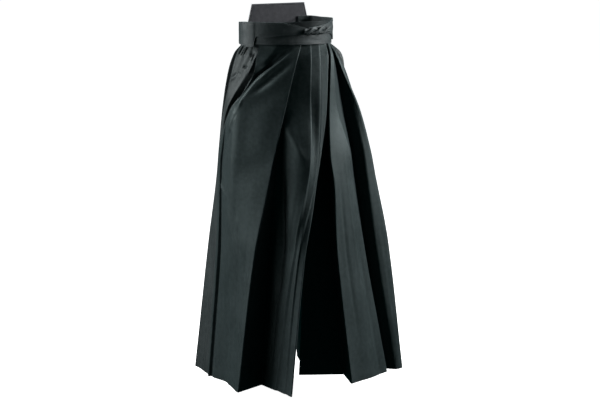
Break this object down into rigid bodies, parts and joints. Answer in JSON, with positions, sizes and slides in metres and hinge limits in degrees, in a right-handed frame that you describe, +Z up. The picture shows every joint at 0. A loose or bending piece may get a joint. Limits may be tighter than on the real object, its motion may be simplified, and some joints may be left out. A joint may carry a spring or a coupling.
{
  "type": "hakama trousers",
  "caption": "Pleated wide-leg divided hakama, hollow as worn, with a sewn front band, wrapped ties, a twisted tie tuck and a stiff back board",
  "frame": {"origin": "centre of the waist, level with the middle of the sewn front band, where the wearer's waist holds the garment", "axes": "+Z up the body, the garment's front faces -Y, +X towards the wearer's left"},
  "size_m": [0.5648, 0.4343, 1.0621],
  "materials": {
    "skirt_cloth": "black twill with a soft satin sheen",
    "tie_cloth": "black twill, folded and top-stitched",
    "board_cloth": "black twill over a stiff board"
  },
  "bodies": {
    "root": {"front_right": "skirt_cloth", "front_left": "skirt_cloth", "back_right": "skirt_cloth", "back_left": "skirt_cloth", "gusset_right": "skirt_cloth", "gusset_left": "skirt_cloth", "front_band": "tie_cloth", "front_tie": "tie_cloth", "back_tie_right": "tie_cloth", "back_tie_left": "tie_cloth", "knot_strand_1": "tie_cloth", "knot_strand_2": "tie_cloth", "back_board": "board_cloth"}
  },
  "joints": []
}
